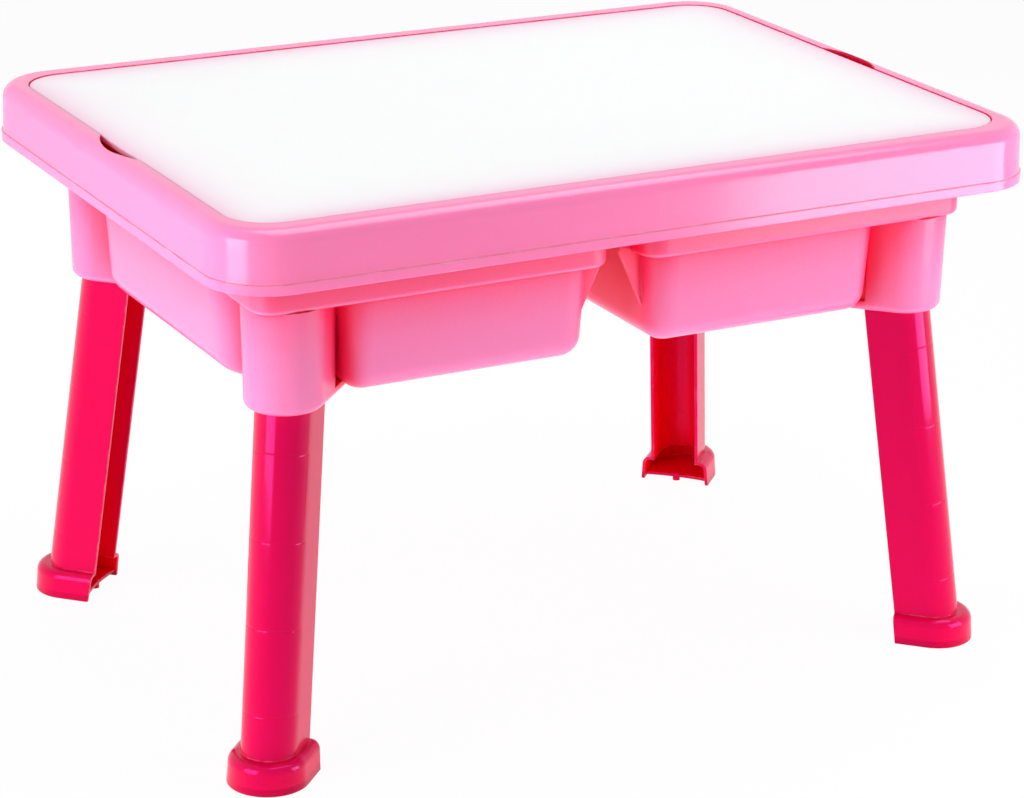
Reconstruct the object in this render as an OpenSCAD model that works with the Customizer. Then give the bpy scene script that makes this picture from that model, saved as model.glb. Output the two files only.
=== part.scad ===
// Play table for small children: a moulded tub with two deep basins and a broad rim,
// a flat board that drops into the rim, and four splayed channel legs that plug in from below.
// Millimetres, +Z up, long side along X. The origin is on the floor under the middle of the table.

/* [Table] */
// Length over the lip at the foot of the skirt
table_l = 560; // [520:5:620]
// Width over the lip at the foot of the skirt
table_w = 410; // [380:5:460]
// Height of the rim above the floor
table_h = 356; // [320:1:420]
// Wall of the tub's skirt, deck and basins
wall = 2.5; // [2:0.1:3]

/* [Rim] */
// Corner radius of the rim at the lip
rim_corner = 41; // [36:1:48]
// Height of the skirt from the rim's top down to the lip's lower edge
skirt_h = 37; // [32:1:44]
// Radius between the rim's top and the skirt
rim_round = 9; // [6:0.5:10]
// How far the skirt leans out from top to bottom
skirt_draft = 1; // [0.5:0.1:2]
// Height of the raised lip along the skirt's lower edge
lip_h = 6; // [4:0.5:9]
// How far the lip stands proud of the skirt
lip_proud = 0.7; // [0.4:0.1:1.2]

/* [Board] */
// Length of the board
board_l = 526.8; // [500:0.2:530]
// Width of the board
board_w = 369; // [350:0.5:372]
// Corner radius of the board
board_corner = 28.7; // [24:0.1:32]
// Thickness of the board along its border
board_t = 4.1; // [3.5:0.1:5]
// Thickness of the board inside its border
board_skin = 3; // [2.5:0.1:3.2]
// Width of the thicker border that lies on the ledge
board_border = 9; // [8:0.5:11]
// Radius of the board's top edge
board_round = 1; // [0.5:0.1:1.5]
// How far the board's top lies below the rim's top
board_sink = 0.4; // [0.2:0.1:1]
// Gap round the board
board_gap = 0.6; // [0.4:0.1:1]
// Depth of the ribs under the board
rib_deep = 8; // [5:0.5:12]
// Thickness of the ribs under the board
rib_t = 2; // [1.6:0.1:2.6]
// Gap between the board's ring ribs and the basin walls
rib_gap = 1.5; // [1:0.1:3]

/* [Finger notches] */
// Length of each notch where it leaves the board's edge
notch_l = 66; // [50:1:80]
// Depth of each notch from the board's edge into the rim
notch_reach = 8.8; // [7:0.1:9]
// Depth of each notch below the rim's top
notch_deep = 14; // [12:0.5:20]
// How far each notch reaches in under the board
notch_under = 11; // [8:0.5:14]

/* [Basins] */
// Distance from the lip to the basins' upper part on the short sides
step_inset_x = 33.5; // [31:0.5:38]
// Distance from the lip to the basins' upper part on the long sides
step_inset_y = 38; // [34:0.5:44]
// Depth of the basins' upper part below the rim's top
step_deep = 62.5; // [55:0.5:75]
// Corner radius of the basins' upper part
step_corner = 14; // [10:1:18]
// Radius under the upper part, where it steps in
step_round = 3; // [1:0.5:4]
// Gap between the two basins at their upper part
gap_w = 24; // [18:1:36]
// How far the basins step in under their upper part, on the long sides
step_in_y = 7; // [5:0.5:10]
// How far the basins step in under their upper part, on the short sides
step_in_x = 5; // [4:0.5:7]
// How far the basins step in under their upper part, on the gap side
step_in_gap = 7.7; // [5:0.1:10]
// Depth of the basins below the rim's top
basin_deep = 122.8; // [110:0.1:124]
// Draft of the basins' walls over their lower part
basin_draft = 3; // [2:0.5:4]
// Radius of the basins' upright edges on the long sides and at the gap
basin_corner = 19; // [19:1:24]
// Radius of the upright edges at the ends of the basins' short side
side_corner = 42; // [36:1:46]
// Radius of the basins' bottom edges
basin_round = 14; // [10:1:14]
// Distance from the lip's end to the basins' narrower long part
basin_end = 91.8; // [88:0.1:98]
// Half the length of the basins' short side
side_half = 123; // [118:1:126]

/* [Gusset ribs in the gap] */
// Distance of each gusset from the lip of the long side
gusset_inset = 63; // [55:1:75]
// Thickness of each gusset
gusset_t = 2.5; // [2:0.1:3]
// Height of each gusset's slanting edge
gusset_h = 38; // [30:1:44]
// Gap between two facing gussets at the top
gusset_gap = 10; // [6:1:16]

/* [Leg sockets] */
// Distance from the lip of the short side to the leg's centre where it enters the socket
leg_inset_x = 60.6; // [58:0.1:66]
// Distance from the lip of the long side to the leg's centre where it enters the socket
leg_inset_y = 63.6; // [60:0.1:70]
// Depth of the sockets' lower end below the rim's top
socket_deep = 127; // [126:1:140]
// Radius of the socket column at its lower end
column_r = 24.4; // [23:0.1:25]
// How much wider the column's radius is at its upper end
column_draft = 1.1; // [0.5:0.1:2]
// Length of the column's straight sides
column_side = 20; // [16:1:22]
// Radius of the column's lower edge
column_round = 5; // [2:0.5:5]
// Thickness of the collar at the column's lower end
collar_t = 5; // [3:0.5:8]
// Length of the web that joins the column's foot to the basin
web_l = 39; // [34:1:44]
// Thickness of the guide ribs in the column
guide_t = 2; // [1.5:0.1:2.5]
// Gap between the leg and its socket
leg_gap = 0.4; // [0.3:0.1:0.6]

/* [Legs] */
// Radius of the leg's round outer side
leg_r = 17.8; // [16:0.1:18]
// Length of the leg's straight sides
leg_side = 21; // [16:0.5:22]
// Wall of the leg
leg_wall = 2.2; // [2:0.1:3]
// Lean of the leg, outward along the table's diagonal
leg_splay = 8.4; // [5:0.1:9]
// Radius of the foot
foot_r = 25.6; // [23:0.1:28]
// Height of the foot
foot_h = 18.5; // [14:0.5:24]
// Radius of the foot's upper edge
foot_round = 6; // [3:0.5:7]
// How far the foot's side leans out from top to bottom
foot_draft = 1; // [0.5:0.1:1.5]
// Height of the sole plate above the floor
sole_up = 3; // [1:0.5:4]
// Thickness of the sole plate
sole_t = 2; // [1.6:0.1:3]
// Depth of the hollow curve in the sole plate's open edge
sole_hollow = 2.5; // [1:0.5:4]
// Radius of the small post behind the middle of that edge
post_r = 2.7; // [2:0.1:4]
// Distance of that post's axis from the edge
post_back = 2.5; // [1:0.5:5]
// How far that post stands above the sole plate
post_rise = 0.6; // [0.3:0.1:1.5]

/* [Hidden] */
$fn = 96;

shell_pink = [1.0, 0.55, 0.78];
leg_pink = [0.95, 0.03, 0.36];
board_white = [0.97, 0.97, 0.98];

// cuts run past what they cut by spare, and long tools reach well past a leg's section
spare = 1;
reach = 100;
// radius at the foot of the hollow core inside a column
core_round = 1;

// levels, measured down from the rim
z_ledge = table_h - board_sink - board_t;
z_deck = z_ledge - wall;
z_skirt = table_h - skirt_h;
z_step = table_h - step_deep;
z_basin = table_h - basin_deep;
z_socket = table_h - socket_deep;
z_over = table_h + spare;

// half sizes on plan
rim_x = table_l / 2;
rim_y = table_w / 2;
step_x = rim_x - step_inset_x;
step_y = rim_y - step_inset_y;
basin_x = rim_x - basin_end;
side_x = step_x - step_in_x;
basin_y = step_y - step_in_y;
basin_gap = gap_w / 2 + step_in_gap;
recess_x = board_l / 2 + board_gap;
recess_y = board_w / 2 + board_gap;
recess_corner = board_corner + board_gap;
notch_r = (notch_l * notch_l / 4 + notch_reach * notch_reach) / (2 * notch_reach);
notch_x = board_l / 2 + notch_reach - notch_r;

// the leg's round centre where it enters the socket, and how far out it is at the floor
leg_x = rim_x - leg_inset_x;
leg_y = rim_y - leg_inset_y;
splay_run = z_socket * tan(leg_splay);

// the socket's housing inside the column has room for the leaning leg's open side, with one more
// leg_gap all round, and its roof ends a little below the basin's upper floor
lean_in_socket = (z_step - z_socket) * tan(leg_splay);
housing_r = leg_r + 2 * leg_gap + wall;
housing_side = (leg_side + leg_gap) / cos(leg_splay) + lean_in_socket + leg_gap + wall;
roof_t = 0.85 * wall;

// A rounded rectangle whose sides follow a profile. The profile is drawn with X as the distance
// outward from the corner centres and Y as the height, and low and high are its heights at X = 0.
module swept_block(half_x, half_y, corner, low, high) {
    for (turn = [0:3]) {
        out = (turn % 2 == 0 ? half_x : half_y) - corner;
        along = (turn % 2 == 0 ? half_y : half_x) - corner;
        rotate([0, 0, 90 * turn]) translate([out, along, 0]) {
            rotate([90, 0, 0]) linear_extrude(2 * along) children();
            rotate_extrude(angle = 90) children();
        }
    }
    translate([corner - half_x, corner - half_y, low])
        cube([2 * (half_x - corner), 2 * (half_y - corner), high - low]);
}

// A bar along X whose two sides follow a profile, from X = 0 back to X = -side.
module swept_bar(side) {
    translate([-side, 0, 0]) rotate([90, 0, 90]) linear_extrude(side) {
        children();
        mirror([1, 0]) children();
    }
}

// The same bar with a half-round end toward +X.
module channel_block(side) {
    rotate([0, 0, -90]) rotate_extrude(angle = 180) children();
    swept_bar(side) children();
}

// The outline of such a block, flat.
module channel_shape(radius, side) {
    circle(radius);
    translate([-side, -radius]) square([side, 2 * radius]);
}

module plain_profile(radius, low, high) {
    translate([0, low]) square([radius, high - low]);
}

// Profile with a rounded lower edge, leaning out by draft up to the level knee, upright above it.
module bowl_profile(radius, round, draft, low, knee, high) {
    // the quarter that rounds the edge stays on the outer side of the corner's axis
    intersection() {
        translate([radius - draft - round, low + round]) circle(round);
        translate([radius - draft - round, low]) square([round, round]);
    }
    polygon([
        [0, low],
        [radius - draft - round, low],
        [radius - draft - round, low + round],
        [radius - draft, low + round],
        [radius, knee],
        [radius, high],
        [0, high]
    ]);
}

// Profile with a rounded upper edge.
module cap_profile(radius, round, low, high) {
    translate([radius - round, high - round]) circle(round);
    plain_profile(radius, low, high - round);
    plain_profile(radius - round, low, high);
}

// Profile of the skirt and rim: set_in is 0 for the outside and the wall for the hollow behind it.
module rim_profile(set_in, low) {
    top = table_h - set_in;
    round = rim_round - set_in;
    side = rim_corner - lip_proud - set_in;
    translate([side - skirt_draft - round, top - round]) circle(round);
    polygon([
        [0, low],
        [side, low],
        [side - skirt_draft, top - round],
        [side - skirt_draft - round, top - round],
        [side - skirt_draft - round, top],
        [0, top]
    ]);
}

// Places a child at both short ends, mirrored.
module at_ends() {
    children();
    mirror([1, 0, 0]) children();
}

// Places a child at one leg, with its +X pointing outward along the table's diagonal.
module at_corner(end, side) {
    turn = end > 0 ? side * 45 : side * 135;
    translate([end * leg_x, side * leg_y, 0]) rotate([0, 0, turn]) children();
}

module at_corners() {
    for (end = [-1, 1], side = [-1, 1]) at_corner(end, side) children();
}

// Leans a child inward about the point where the leg enters the socket.
module lean() {
    translate([0, 0, z_socket]) rotate([0, -leg_splay, 0]) translate([0, 0, -z_socket]) children();
}

// Rim, skirt, lip and the deck that holds the board, hollow from below.
module rim_shell() {
    difference() {
        swept_block(rim_x, rim_y, rim_corner, z_skirt, table_h) {
            rim_profile(0, z_skirt);
            plain_profile(rim_corner, z_skirt, z_skirt + lip_h);
        }
        difference() {
            swept_block(rim_x, rim_y, rim_corner, z_skirt - spare, table_h - wall)
                rim_profile(wall, z_skirt - spare);
            swept_block(recess_x + wall, recess_y + wall, recess_corner + wall, z_deck, z_over)
                plain_profile(recess_corner + wall, z_deck, z_over);
        }
    }
}

// One basin's upper part; set_in is 0 for the outside and the wall for the inside.
module upper_basin(set_in, high) {
    low = z_step + set_in;
    corner = step_corner - set_in;
    half_x = (step_x - gap_w / 2) / 2;
    translate([gap_w / 2 + half_x, 0, 0])
        swept_block(half_x - set_in, step_y - set_in, corner, low, high)
            bowl_profile(corner, step_round, 0, low, low + step_round, high);
}

// One basin's lower part: a long narrow box, and a shorter one that reaches the table's end.
module lower_basin(set_in) {
    low = z_basin + set_in;
    round = basin_round - set_in;
    half_x = (basin_x - basin_gap) / 2;
    corner = basin_corner - set_in;
    translate([basin_gap + half_x, 0, 0])
        swept_block(half_x - set_in, basin_y - set_in, corner, low, z_deck)
            bowl_profile(corner, round, basin_draft, low, z_step, z_deck);
    // the shorter box reaches back well inside the long one
    half_side = (side_x - basin_gap) / 3;
    corner_side = side_corner - set_in;
    translate([side_x - half_side, 0, 0])
        swept_block(half_side - set_in, side_half - set_in, corner_side, low, z_deck)
            bowl_profile(corner_side, round, basin_draft, low, z_step, z_deck);
}

// Profile of the column's outside, wider toward the top; set_in is 0 or the wall.
module column_profile(set_in, low, round) {
    bowl_profile(column_r + column_draft - set_in, round, column_draft, low, z_step, z_step);
}

// The block that closes the socket off from the basin, inside the column and behind it.
module housing() {
    translate([0, 0, z_socket]) linear_extrude(z_step + roof_t - z_socket)
        channel_shape(housing_r, housing_side);
}

// Column, housing and the web that ties their feet to the basin's bottom.
module column() {
    channel_block(column_side) column_profile(0, z_socket, column_round);
    difference() {
        housing();
        translate([0, 0, z_socket - spare]) linear_extrude(column_round + spare)
            channel_shape(housing_r + spare, housing_side + spare);
    }
    swept_bar(web_l) bowl_profile(column_r, column_round, 0, z_socket, z_basin, z_basin + wall);
}

// Thin upright ribs that guide the leg inside the column.
module guides() {
    for (turn = [-90:45:90])
        rotate([0, 0, turn]) translate([0, -guide_t / 2, z_socket])
            cube([column_r, guide_t, z_step - z_socket]);
}

// Everything that is hollow inside a column: the core round the guides, the socket itself, and
// the underside of the web behind it.
module column_hollow() {
    core_low = z_socket + collar_t;
    difference() {
        union() {
            channel_block(column_side - wall) column_profile(wall, core_low, core_round);
            translate([0, 0, core_low]) linear_extrude(z_step - core_low)
                channel_shape(housing_r - wall, housing_side - wall);
        }
        guides();
    }
    difference() {
        lean() translate([0, 0, z_socket - reach]) linear_extrude(2 * reach)
            channel_shape(leg_r + leg_gap, leg_side + leg_gap);
        translate([-reach, -reach, z_step]) cube([2 * reach, 2 * reach, reach]);
    }
    web_from = leg_side + leg_gap + wall;
    translate([-web_from, 0, 0]) swept_bar(web_l - web_from - wall)
        plain_profile(column_r - wall, z_socket - spare, z_basin);
}

// A finger notch's outline, grown by extra, from the level low up to high.
module notch(extra, low, high) {
    inner = board_l / 2 - notch_under - extra;
    intersection() {
        translate([notch_x, 0, low]) cylinder(r = notch_r + extra, h = high - low);
        translate([inner, -notch_l, low]) cube([notch_l, 2 * notch_l, high - low]);
    }
}

// A triangular rib on the side of a basin that faces the gap.
module gusset() {
    foot = z_step - gusset_h;
    bite = wall / 2;
    rotate([90, 0, 0]) linear_extrude(gusset_t, center = true) polygon([
        [basin_gap + basin_draft, foot],
        [gusset_gap / 2, z_step],
        [gusset_gap / 2, z_deck + bite],
        [gap_w / 2 + bite, z_deck + bite],
        [gap_w / 2 + bite, z_step],
        [basin_gap + bite, z_step - bite]
    ]);
}

module tub() color(shell_pink) {
    difference() {
        union() {
            rim_shell();
            at_ends() {
                upper_basin(0, z_deck);
                lower_basin(0);
                notch(wall, table_h - notch_deep - wall, table_h - wall);
                for (side = [-1, 1]) translate([0, side * (rim_y - gusset_inset), 0]) gusset();
            }
            at_corners() column();
        }
        swept_block(recess_x, recess_y, recess_corner, z_ledge, z_over)
            plain_profile(recess_corner, z_ledge, z_over);
        difference() {
            at_ends() {
                upper_basin(wall, z_over);
                lower_basin(wall);
            }
            at_corners() housing();
        }
        at_corners() column_hollow();
        at_ends() notch(0, table_h - notch_deep, z_over);
    }
}

// Ribs under the board for one basin: a ring that centres the board, and ribs across it.
module board_ribs() {
    inner = gap_w / 2 + wall + rib_gap;
    outer = step_x - wall - rib_gap;
    half_x = (outer - inner) / 2;
    half_y = step_y - wall - rib_gap;
    corner = step_corner - wall;
    translate([inner + half_x, 0, 0]) {
        difference() {
            swept_block(half_x, half_y, corner, z_ledge - rib_deep, z_ledge + board_t / 2)
                plain_profile(corner, z_ledge - rib_deep, z_ledge + board_t / 2);
            swept_block(half_x - rib_t, half_y - rib_t, corner - rib_t, z_ledge - rib_deep - spare, z_over)
                plain_profile(corner - rib_t, z_ledge - rib_deep - spare, z_over);
        }
        for (side = [-1, 1]) {
            translate([-half_x + rib_t / 2, side * half_y / 3 - rib_t / 2, z_ledge - rib_deep])
                cube([2 * half_x - rib_t, rib_t, rib_deep + board_t / 2]);
            translate([side * half_x / 3 - rib_t / 2, -half_y + rib_t / 2, z_ledge - rib_deep])
                cube([rib_t, 2 * half_y - rib_t, rib_deep + board_t / 2]);
        }
    }
}

module board() color(board_white) {
    difference() {
        swept_block(board_l / 2, board_w / 2, board_corner, z_ledge, z_ledge + board_t)
            cap_profile(board_corner, board_round, z_ledge, z_ledge + board_t);
        swept_block(board_l / 2 - board_border, board_w / 2 - board_border,
            board_corner - board_border, z_ledge - spare, z_ledge + board_t - board_skin)
            plain_profile(board_corner - board_border, z_ledge - spare,
                z_ledge + board_t - board_skin);
    }
    at_ends() board_ribs();
}

// The leaning channel's outline as a solid, set in by a wall, open toward -X when deep is longer.
module channel_core(set_in, deep) {
    lean() translate([0, 0, -reach]) linear_extrude(z_step + 2 * reach)
        channel_shape(leg_r - set_in, deep);
}

// Profile of the foot's side: it leans out toward the floor and has a rounded upper edge.
module foot_profile(set_in, low) {
    round = foot_round - set_in;
    high = foot_h - set_in;
    top_r = foot_r - foot_draft - set_in;
    translate([top_r - round, high - round]) circle(round);
    plain_profile(top_r - round, low, high);
    polygon([
        [0, low],
        [foot_r - set_in, low],
        [top_r, high - round],
        [0, high - round]
    ]);
}

// The foot's block, set in by a wall.
module foot_core(set_in, low, deep) {
    translate([splay_run, 0, 0]) channel_block(deep) foot_profile(set_in, low);
}

// The plate that closes the foot above the floor, with the hollow curve of its open edge and
// the small post behind it.
module sole() {
    hollow_r = (foot_r * foot_r + sole_hollow * sole_hollow) / (2 * sole_hollow);
    translate([splay_run, 0, sole_up]) {
        difference() {
            linear_extrude(sole_t) channel_shape(foot_r - foot_draft - leg_wall / 2, leg_side);
            translate([sole_hollow - leg_side - hollow_r, 0, -spare])
                cylinder(r = hollow_r, h = sole_t + 2 * spare);
        }
        translate([sole_hollow + post_back - leg_side, 0, -sole_up])
            cylinder(r = post_r, h = sole_up + sole_t + post_rise);
    }
}

// A leg in its own frame: the round side outward, the open side toward the table's middle.
module leg() color(leg_pink) {
    foot_deep = leg_side + 2 * foot_h * tan(leg_splay);
    intersection() {
        difference() {
            union() {
                channel_core(0, leg_side);
                foot_core(0, 0, foot_deep);
            }
            channel_core(leg_wall, leg_side + reach);
            foot_core(leg_wall, -spare, foot_deep + reach);
        }
        // the floor, the socket's roof and the leaning plane of the open side
        translate([-reach, -reach, 0]) cube([2 * reach, 2 * reach, z_step]);
        lean() translate([-leg_side, -reach, -reach])
            cube([2 * reach, 2 * reach, z_step + 2 * reach]);
    }
    sole();
}

module leg_front_left() at_corner(-1, -1) leg();
module leg_front_right() at_corner(1, -1) leg();
module leg_back_left() at_corner(-1, 1) leg();
module leg_back_right() at_corner(1, 1) leg();

tub();
board();
leg_front_left();
leg_front_right();
leg_back_left();
leg_back_right();
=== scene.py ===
# Looks of the play table: materials, small moulded details, floor, light and camera
import math

import bpy
from mathutils import Matrix, Vector

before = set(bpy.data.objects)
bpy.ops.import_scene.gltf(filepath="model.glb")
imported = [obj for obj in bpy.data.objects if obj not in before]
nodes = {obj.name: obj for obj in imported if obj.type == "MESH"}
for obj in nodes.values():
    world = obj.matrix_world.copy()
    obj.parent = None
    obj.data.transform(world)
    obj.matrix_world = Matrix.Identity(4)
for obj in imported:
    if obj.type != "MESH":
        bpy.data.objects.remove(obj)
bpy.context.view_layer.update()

# Colours as linear light
SHELL = (0.96, 0.212, 0.457)
# painted shade: the shell's colour where the surface is enclosed
SHELL_PAINTED_SHADE = (0.95, 0.004, 0.075)
LEG = (0.57, 0.0005, 0.05)
# painted shade: the legs' colour where the surface is enclosed
LEG_PAINTED_SHADE = (0.78, 0.0005, 0.001)
BOARD = (0.93, 0.905, 0.915)
# painted shade for the board: in enclosed places and toward its edges
BOARD_PAINTED_SHADE = (0.86, 0.5, 0.68)
RUBBED = (1.0, 0.9, 0.95)
WHITE = (1.0, 1.0, 1.0)
FLOOR = (0.86, 0.86, 0.86)

# The three plastics: own colour and the colour of painted shade deep in, which openness gets painted
# shade for wide spaces and for creases, gloss, light that scatters inside, rubbed edges, skin and
# clouding
PLASTICS = {
    "shell_plastic": {
        "colour": SHELL,
        "deep": SHELL_PAINTED_SHADE,
        "spaces": (0.65, 0.89),
        "creases": (0.68, 0.93),
        "rough": 0.15,
        "gloss": 0.5,
        "tint": (1.0, 0.9, 1.0),
        "scatter": 0.3,
        "wear": 0.3,
        "skin": 0.15,
        "cloud": 0.012,
    },
    "leg_plastic": {
        "colour": LEG,
        "deep": LEG_PAINTED_SHADE,
        "spaces": (0.3, 0.55),
        "creases": (0.1, 0.3),
        "rough": 0.11,
        "gloss": 0.45,
        "tint": (1.0, 0.13, 0.85),
        "scatter": 0.1,
        "wear": 0.2,
        "skin": 0.15,
        "cloud": 0.012,
    },
    "board_plastic": {
        "colour": BOARD,
        "deep": BOARD_PAINTED_SHADE,
        "spaces": (0.1, 0.6),
        "creases": (0.1, 0.3),
        "rough": 0.3,
        "gloss": 0.4,
        "tint": WHITE,
        "scatter": 0.1,
        "wear": 0.2,
        "skin": 0.2,
        "cloud": 0.008,
    },
}
REFRACTION = 1.49
SCATTER_RADIUS = (1.0, 0.15, 0.3)
SCATTER_SCALE = 0.02

# How far the plastic looks for what encloses it, in metres
SPACE_REACH = 0.09
CREASE_REACH = 0.03
PROBES = 4

# Noise patterns: cycles per metre, detail and roughness
CLOUDS = (7.0, 3.0, 0.55)
RUB_PATCHES = (55.0, 4.0, 0.6)
SCUFFS = (16.0, 5.0, 0.7)
SCUFF_STRETCH = (1.0, 7.0, 2.2)
HANDLING = (11.0, 2.0, 0.5)
WAVES = (24.0, 1.0, 0.4)
GRAIN = (1500.0, 2.0, 0.6)

# The noise at which each pattern starts and is full
CLOUD_SPAN = (0.3, 0.7)
PATCH_SPAN = (0.45, 0.72)
SCUFF_SPAN = (0.56, 0.74)
HANDLING_SPAN = (0.4, 0.75)

# An edge is rubbed where the rounded surface turns away from the flat one
EDGE_RADIUS = 0.0012
EDGE_SPAN = (0.93, 0.999)

# What marks and deep places add to the roughness
SCUFF_ROUGH = 0.035
HANDLING_ROUGH = 0.02
RUB_ROUGH = 0.3
DEEP_ROUGH = 0.3

# Height of the waves and the grain, in metres
WAVE_STRENGTH = 0.5
WAVE_HEIGHT = 0.0004
GRAIN_HEIGHT = 0.00005

# The legs' axes and the cross lines on them, in metres and radians
LEG_X = 0.2194
LEG_Y = 0.1414
SOCKET_Z = 0.229
LEG_SPLAY = math.radians(8.4)
BAND_FIRST = 0.027
BAND_STEP = 0.0537
BAND_WIDTH = 0.0022
BAND_DEPTH = 0.00012
BAND_TAPER = 1.6
BAND_FADE = 0.006
HALF_TURN = 0.5

# The board's half sizes, and how far the painted edge shade reaches in from its edges
BOARD_HALF_X = 0.2634
BOARD_HALF_Y = 0.1845
EDGE_SHADE_REACH = 0.014
EDGE_SHADE_CORNER = 0.02

# Round marks left by the mould's ejector pins on faces that look down, in metres
PIN_STEP_X = 0.062
PIN_STEP_Y = 0.0935
PIN_RADIUS = 0.0045
PIN_EDGE = 0.0004
PIN_DEPTH = 0.00035
PIN_SHADE = 0.9
PIN_FACING = -0.95

# Where the skirt meets the lip, in height and out from the middle
GROOVE_LOW = 0.3185
GROOVE_HIGH = 0.336
GROOVE_X = 0.262
GROOVE_Y = 0.187

# The lip's upper edge gets a painted highlight along a thin line
GLINT = (1.0, 0.25, 0.47)
GLINT_LOW = 0.3246
GLINT_HIGH = 0.3264

# Floor and world: how much of its white the floor shows, and the world's strength as light
FLOOR_HALF = 8.0
FLOOR_GLOW = 0.96
WORLD_LIGHT = 0.1
WORLD_SEEN = 1.0

# Soft panels: name, place, point they face, width and height, watts, and whether gloss shows them
PANELS = (
    ("left_panel", (-1.22, -0.41, 0.45), (-0.1, -0.05, 0.3), (0.7, 0.8), 10.9, True),
    ("side_panel", (-1.25, 0.15, 0.45), (-0.1, 0.0, 0.3), (0.6, 0.8), 5.2, False),
    ("right_panel", (0.7, -0.725, 0.29), (0.387, -0.1, 0.29), (0.56, 0.52), 6.3, True),
    ("back_panel", (0.3, 1.3, 0.4), (0.0, 0.1, 0.25), (0.9, 0.5), 8.0, False),
    ("top_panel", (0.4, 0.05, 2.1), (0.05, 0.0, 0.3), (1.6, 1.6), 33.0, True),
    ("floor_panel", (0.0, 0.0, 0.004), (0.0, 0.0, 1.0), (0.9, 0.7), 1.5, False),
)

# Camera, fitted to the outlines in the photograph
CAMERA_PLACE = (-0.9517, -1.7927, 0.8902)
CAMERA_RIGHT = (0.88370489, -0.46785439, 0.01333942)
CAMERA_UP = (0.14895671, 0.30814621, 0.93960514)
CAMERA_BACK = (-0.44370888, -0.82834665, 0.34200036)
CAMERA_LENS = 114.27
CAMERA_SENSOR = 36
CAMERA_NEAR = 0.1
CAMERA_FAR = 50


# A colour with its alpha
def opaque(colour):
    return (*colour, 1)


# Sets an input to a value, or links an output to it
def feed(tree, socket, value):
    if isinstance(value, bpy.types.NodeSocket):
        tree.links.new(value, socket)
    else:
        socket.default_value = value


# Adds a shader node and feeds its inputs by name or number
def add(tree, kind, inputs=None, **settings):
    made = tree.nodes.new(kind)
    for name, value in settings.items():
        setattr(made, name, value)
    for name, value in (inputs or {}).items():
        feed(tree, made.inputs[name], value)
    return made


# The result of a maths node
def maths(tree, operation, *values, clamp=False):
    made = add(tree, "ShaderNodeMath", operation=operation, use_clamp=clamp)
    for socket, value in zip(made.inputs, values):
        feed(tree, socket, value)
    return made.outputs["Value"]


# The parts of a vector along X, Y and Z
def split(tree, vector):
    return add(tree, "ShaderNodeSeparateXYZ", {"Vector": vector}).outputs


# Two colours mixed by a factor
def mix_colours(tree, factor, a, b, mode="MIX"):
    made = add(tree, "ShaderNodeMix", data_type="RGBA", blend_type=mode, clamp_factor=True)
    wanted = {"Factor_Float": factor, "A_Color": a, "B_Color": b}
    for socket in made.inputs:
        if socket.identifier in wanted:
            feed(tree, socket, wanted[socket.identifier])
    return next(s for s in made.outputs if s.identifier == "Result_Color")


# Two shaders mixed by a factor
def mix_shaders(tree, factor, a, b):
    return add(tree, "ShaderNodeMixShader", {0: factor, 1: a, 2: b}).outputs["Shader"]


# A value mapped smoothly from one range to another
def remap(tree, value, span, to_low=0.0, to_high=1.0):
    made = add(tree, "ShaderNodeMapRange", interpolation_type="SMOOTHSTEP")
    feed(tree, made.inputs["Value"], value)
    for name, limit in zip(("From Min", "From Max", "To Min", "To Max"), (*span, to_low, to_high)):
        made.inputs[name].default_value = limit
    return made.outputs["Result"]


# Noise in the object's own space
def noise(tree, coords, pattern, stretch=None):
    place = coords["Object"]
    if stretch:
        place = add(tree, "ShaderNodeMapping", {"Vector": place, "Scale": stretch}).outputs["Vector"]
    scale, detail, rough = pattern
    inputs = {"Vector": place, "Scale": scale, "Detail": detail, "Roughness": rough}
    return add(tree, "ShaderNodeTexNoise", inputs).outputs["Fac"]


# A bump on top of another normal
def bump(tree, strength, distance, height, normal):
    inputs = {"Strength": strength, "Distance": distance, "Height": height, "Normal": normal}
    return add(tree, "ShaderNodeBump", inputs).outputs["Normal"]


# Painted shade on the board: a faint pink, as cast by the rim, toward its edges, most of all at the
# corners
def painted_edge_shade(tree, coords, base):
    place = split(tree, coords["Object"])
    across = maths(tree, "SUBTRACT", BOARD_HALF_X, maths(tree, "ABSOLUTE", place["X"]))
    along = maths(tree, "SUBTRACT", BOARD_HALF_Y, maths(tree, "ABSOLUTE", place["Y"]))
    nearest = maths(tree, "SMOOTH_MIN", across, along, EDGE_SHADE_CORNER)
    fading = maths(tree, "DIVIDE", nearest, -EDGE_SHADE_REACH)
    edge_shading = maths(tree, "EXPONENT", fading, clamp=True)
    return mix_colours(tree, edge_shading, base, opaque(BOARD_PAINTED_SHADE))


# One on the outside of the rim between two heights, and zero elsewhere
def rim_band(tree, coords, low, high):
    place = split(tree, coords["Object"])
    far_x = maths(tree, "GREATER_THAN", maths(tree, "ABSOLUTE", place["X"]), GROOVE_X)
    far_y = maths(tree, "GREATER_THAN", maths(tree, "ABSOLUTE", place["Y"]), GROOVE_Y)
    outside = maths(tree, "MAXIMUM", far_x, far_y)
    above = maths(tree, "GREATER_THAN", place["Z"], low)
    below = maths(tree, "LESS_THAN", place["Z"], high)
    level = maths(tree, "MULTIPLY", above, below)
    return maths(tree, "MULTIPLY", outside, level)


# How enclosed the surface is: wide spaces from a long reach, creases from a short one
def enclosed(tree, look):
    wide = add(tree, "ShaderNodeAmbientOcclusion", {"Distance": SPACE_REACH}, samples=PROBES)
    close = add(tree, "ShaderNodeAmbientOcclusion", {"Distance": CREASE_REACH}, samples=PROBES)
    spaces = remap(tree, wide.outputs["AO"], look["spaces"], 1.0, 0.0)
    creases = remap(tree, close.outputs["AO"], look["creases"], 1.0, 0.0)
    return maths(tree, "MAXIMUM", spaces, creases)


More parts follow.
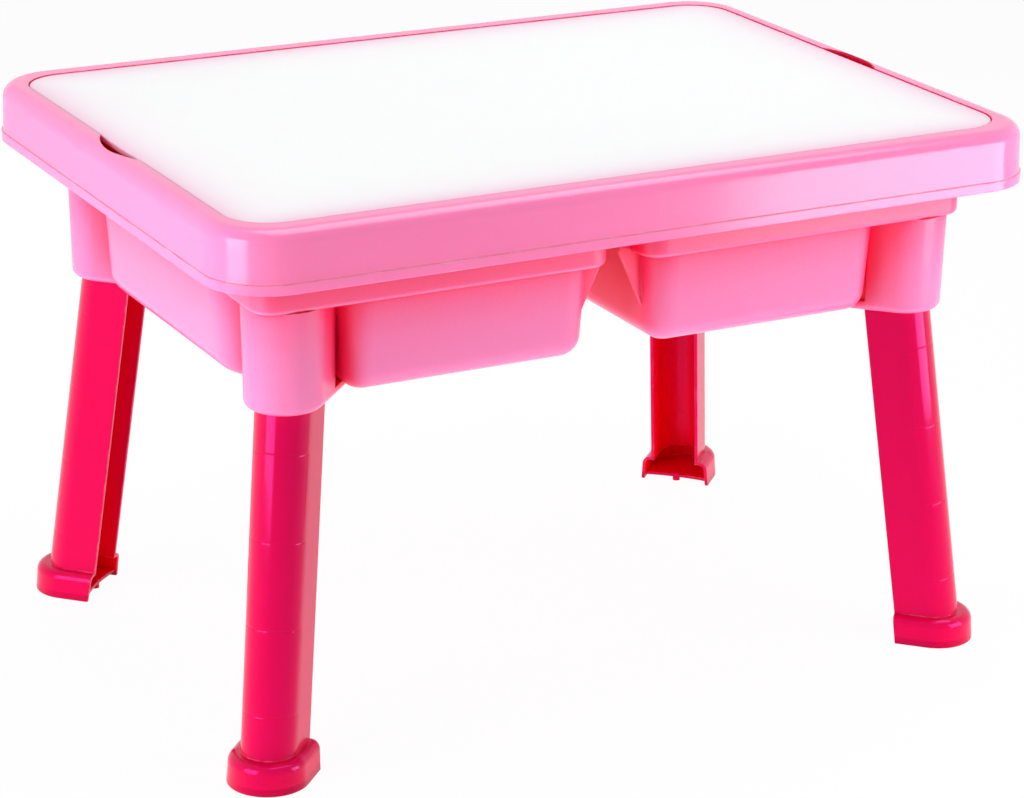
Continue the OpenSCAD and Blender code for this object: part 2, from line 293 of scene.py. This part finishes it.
# Height of the pins' round marks, on a grid of places and only where the surface looks down
def ejector_marks(tree, coords):
    place = split(tree, coords["Object"])
    facing = split(tree, coords["Normal"])
    near_x = maths(tree, "SUBTRACT", maths(tree, "PINGPONG", place["X"], PIN_STEP_X), PIN_STEP_X / 2)
    near_y = maths(tree, "SUBTRACT", maths(tree, "PINGPONG", place["Y"], PIN_STEP_Y), PIN_STEP_Y / 2)
    square_x = maths(tree, "MULTIPLY", near_x, near_x)
    away = maths(tree, "SQRT", maths(tree, "MULTIPLY_ADD", near_y, near_y, square_x))
    disc = remap(tree, away, (PIN_RADIUS, PIN_RADIUS + PIN_EDGE), 1.0, 0.0)
    downward = maths(tree, "LESS_THAN", facing["Z"], PIN_FACING)
    return maths(tree, "MULTIPLY", disc, downward)


# Height of the faint cross lines on the legs' round side, left where the wall shrank in the mould
def leg_bands(tree, coords):
    place = split(tree, coords["Object"])
    from_x = maths(tree, "SUBTRACT", maths(tree, "ABSOLUTE", place["X"]), LEG_X)
    from_y = maths(tree, "SUBTRACT", maths(tree, "ABSOLUTE", place["Y"]), LEG_Y)
    outward = maths(tree, "ADD", from_x, from_y)
    down = maths(tree, "SUBTRACT", SOCKET_Z, place["Z"])
    run = maths(tree, "MULTIPLY", outward, math.sin(LEG_SPLAY) / math.sqrt(2))
    along = maths(tree, "MULTIPLY_ADD", down, math.cos(LEG_SPLAY), run)
    turns = maths(tree, "DIVIDE", maths(tree, "SUBTRACT", along, BAND_FIRST), BAND_STEP)
    near = maths(tree, "PINGPONG", turns, HALF_TURN)
    line = remap(tree, near, (0.0, HALF_TURN * BAND_WIDTH / BAND_STEP))
    taper = maths(tree, "MULTIPLY", maths(tree, "FRACT", turns), BAND_TAPER)
    height = maths(tree, "ADD", line, taper)
    lean = maths(tree, "MULTIPLY", down, math.tan(LEG_SPLAY))
    from_axis = maths(tree, "SUBTRACT", maths(tree, "MULTIPLY", outward, math.sqrt(0.5)), lean)
    round_side = remap(tree, from_axis, (0.0, BAND_FADE))
    return maths(tree, "MULTIPLY", height, round_side)


# One where an outer edge is rubbed, in patches
def rub_marks(tree, coords, rounded, wear):
    facing = add(tree, "ShaderNodeNewGeometry").outputs["Normal"]
    turned = add(tree, "ShaderNodeVectorMath", {0: rounded, 1: facing}, operation="DOT_PRODUCT")
    edge = remap(tree, turned.outputs["Value"], EDGE_SPAN, 1.0, 0.0)
    patchy = remap(tree, noise(tree, coords, RUB_PATCHES), PATCH_SPAN)
    return maths(tree, "MULTIPLY", maths(tree, "MULTIPLY", edge, patchy), wear)


# Roughness: long light scuffs, handling marks, rubbed edges and duller deep places
def roughness(tree, coords, rough, rubbed, deep):
    scuffed = remap(tree, noise(tree, coords, SCUFFS, SCUFF_STRETCH), SCUFF_SPAN)
    handled = remap(tree, noise(tree, coords, HANDLING), HANDLING_SPAN)
    total = maths(tree, "MULTIPLY_ADD", scuffed, SCUFF_ROUGH, rough)
    total = maths(tree, "MULTIPLY_ADD", handled, HANDLING_ROUGH, total)
    total = maths(tree, "MULTIPLY_ADD", rubbed, RUB_ROUGH, total)
    return maths(tree, "MULTIPLY_ADD", deep, DEEP_ROUGH, total, clamp=True)


# A moulded gloss plastic, with what belongs to the shell, the legs or the board alone
def plastic(name):
    look = PLASTICS[name]
    material = bpy.data.materials.new(name)
    material.use_nodes = True
    tree = material.node_tree
    tree.nodes.clear()
    output = add(tree, "ShaderNodeOutputMaterial")
    shader = add(tree, "ShaderNodeBsdfPrincipled", {
        "Roughness": look["rough"],
        "IOR": REFRACTION,
        "Specular IOR Level": look["gloss"],
        "Specular Tint": opaque(look["tint"]),
        "Subsurface Weight": look["scatter"],
        "Subsurface Radius": SCATTER_RADIUS,
        "Subsurface Scale": SCATTER_SCALE,
    })
    feed(tree, output.inputs["Surface"], shader.outputs["BSDF"])
    coords = add(tree, "ShaderNodeTexCoord").outputs
    # painted shade: a deeper colour where the surface is enclosed, but not on the skirt just above the
    # lip
    deep = enclosed(tree, look)
    if name == "shell_plastic":
        rim = rim_band(tree, coords, GROOVE_LOW, GROOVE_HIGH)
        deep = maths(tree, "MULTIPLY", deep, maths(tree, "SUBTRACT", 1.0, rim))
    base = mix_colours(tree, deep, opaque(look["colour"]), opaque(look["deep"]))
    # painted pinkish shade toward the board's edges
    if name == "board_plastic":
        base = painted_edge_shade(tree, coords, base)
    if name == "shell_plastic":
        # painted highlight: a thin lighter line along the lip's upper edge
        line = rim_band(tree, coords, GLINT_LOW, GLINT_HIGH)
        base = mix_colours(tree, line, base, opaque(GLINT))
    # slow clouding of the melt
    cloudy = remap(tree, noise(tree, coords, CLOUDS), CLOUD_SPAN, 1 - look["cloud"], 1.0)
    base = mix_colours(tree, 1.0, base, cloudy, "MULTIPLY")
    # pale rub marks along the outer edges
    rounded = add(tree, "ShaderNodeBevel", {"Radius": EDGE_RADIUS}, samples=PROBES).outputs["Normal"]
    rubbed = rub_marks(tree, coords, rounded, look["wear"])
    base = mix_colours(tree, rubbed, base, opaque(RUBBED))
    # the legs' cross lines, or elsewhere the pins' discs, which are a little deeper in colour
    if name == "leg_plastic":
        height = leg_bands(tree, coords)
        depth = BAND_DEPTH
    else:
        height = ejector_marks(tree, coords)
        depth = PIN_DEPTH
        pressed = remap(tree, height, (0.0, 1.0), 1.0, PIN_SHADE)
        base = mix_colours(tree, 1.0, base, pressed, "MULTIPLY")
    feed(tree, shader.inputs["Base Color"], base)
    feed(tree, shader.inputs["Roughness"], roughness(tree, coords, look["rough"], rubbed, deep))
    # surface: slight waviness of a moulded wall, the marks, and a fine grain
    normal = bump(tree, WAVE_STRENGTH, WAVE_HEIGHT, noise(tree, coords, WAVES), rounded)
    normal = bump(tree, 1.0, depth, height, normal)
    normal = bump(tree, look["skin"], GRAIN_HEIGHT, noise(tree, coords, GRAIN), normal)
    feed(tree, shader.inputs["Normal"], normal)
    return material


shell = plastic("shell_plastic")
legs = plastic("leg_plastic")
lid = plastic("board_plastic")

for name, node in nodes.items():
    chosen = lid if name == "board" else shell if name == "tub" else legs
    node.data.materials.clear()
    node.data.materials.append(chosen)


# One for what the camera sees, directly or in gloss or glass
def seen_rays(tree):
    path = add(tree, "ShaderNodeLightPath").outputs
    seen = maths(tree, "MAXIMUM", path["Is Camera Ray"], path["Is Glossy Ray"])
    return maths(tree, "MAXIMUM", seen, path["Is Transmission Ray"])


# Floor: pale, white to the camera apart from the shadow, and open from below
def make_floor():
    mesh = bpy.data.meshes.new("floor")
    half = FLOOR_HALF
    corners = [(-half, -half, 0), (half, -half, 0), (half, half, 0), (-half, half, 0)]
    mesh.from_pydata(corners, [], [(0, 1, 2, 3)])
    floor = bpy.data.objects.new("floor", mesh)
    bpy.context.scene.collection.objects.link(floor)
    material = bpy.data.materials.new("floor")
    material.use_nodes = True
    tree = material.node_tree
    tree.nodes.clear()
    output = add(tree, "ShaderNodeOutputMaterial")
    matt = add(tree, "ShaderNodeBsdfDiffuse", {"Color": opaque(FLOOR)}).outputs["BSDF"]
    glow = add(tree, "ShaderNodeEmission", {"Color": opaque(WHITE), "Strength": 1.0}).outputs["Emission"]
    share = maths(tree, "MULTIPLY", seen_rays(tree), FLOOR_GLOW)
    above = mix_shaders(tree, share, matt, glow)
    clear = add(tree, "ShaderNodeBsdfTransparent").outputs["BSDF"]
    below = add(tree, "ShaderNodeNewGeometry").outputs["Backfacing"]
    feed(tree, output.inputs["Surface"], mix_shaders(tree, below, above, clear))
    mesh.materials.append(material)


# World: white to the camera, a softer grey as light
def make_world():
    world = bpy.data.worlds.new("world")
    bpy.context.scene.world = world
    world.use_nodes = True
    tree = world.node_tree
    tree.nodes.clear()
    output = add(tree, "ShaderNodeOutputWorld")
    sky = {"Color": opaque(WHITE), "Strength": WORLD_LIGHT}
    lit = add(tree, "ShaderNodeBackground", sky).outputs["Background"]
    sky = {"Color": opaque(WHITE), "Strength": WORLD_SEEN}
    white = add(tree, "ShaderNodeBackground", sky).outputs["Background"]
    feed(tree, output.inputs["Surface"], mix_shaders(tree, seen_rays(tree), lit, white))


# The camera stands where the photograph was taken
def make_camera():
    data = bpy.data.cameras.new("camera")
    data.sensor_width = CAMERA_SENSOR
    data.lens = CAMERA_LENS
    data.clip_start = CAMERA_NEAR
    data.clip_end = CAMERA_FAR
    camera = bpy.data.objects.new("camera", data)
    columns = (CAMERA_RIGHT, CAMERA_UP, CAMERA_BACK, CAMERA_PLACE)
    rows = [tuple(column[i] for column in columns) for i in range(3)]
    camera.matrix_world = Matrix((*rows, (0, 0, 0, 1)))
    bpy.context.scene.collection.objects.link(camera)
    bpy.context.scene.camera = camera


# A soft light panel that faces a point and that the camera doesn't see
def panel(name, place, aim, size, watts, mirrored):
    data = bpy.data.lights.new(name, "AREA")
    data.shape = "RECTANGLE"
    data.size, data.size_y = size
    data.energy = watts
    light = bpy.data.objects.new(name, data)
    light.location = place
    light.visible_camera = False
    light.visible_glossy = mirrored
    light.rotation_mode = "QUATERNION"
    light.rotation_quaternion = (Vector(aim) - Vector(place)).to_track_quat("-Z", "Y")
    bpy.context.scene.collection.objects.link(light)


make_floor()
make_world()
make_camera()
for row in PANELS:
    panel(*row)

bpy.context.scene.view_settings.view_transform = "Standard"
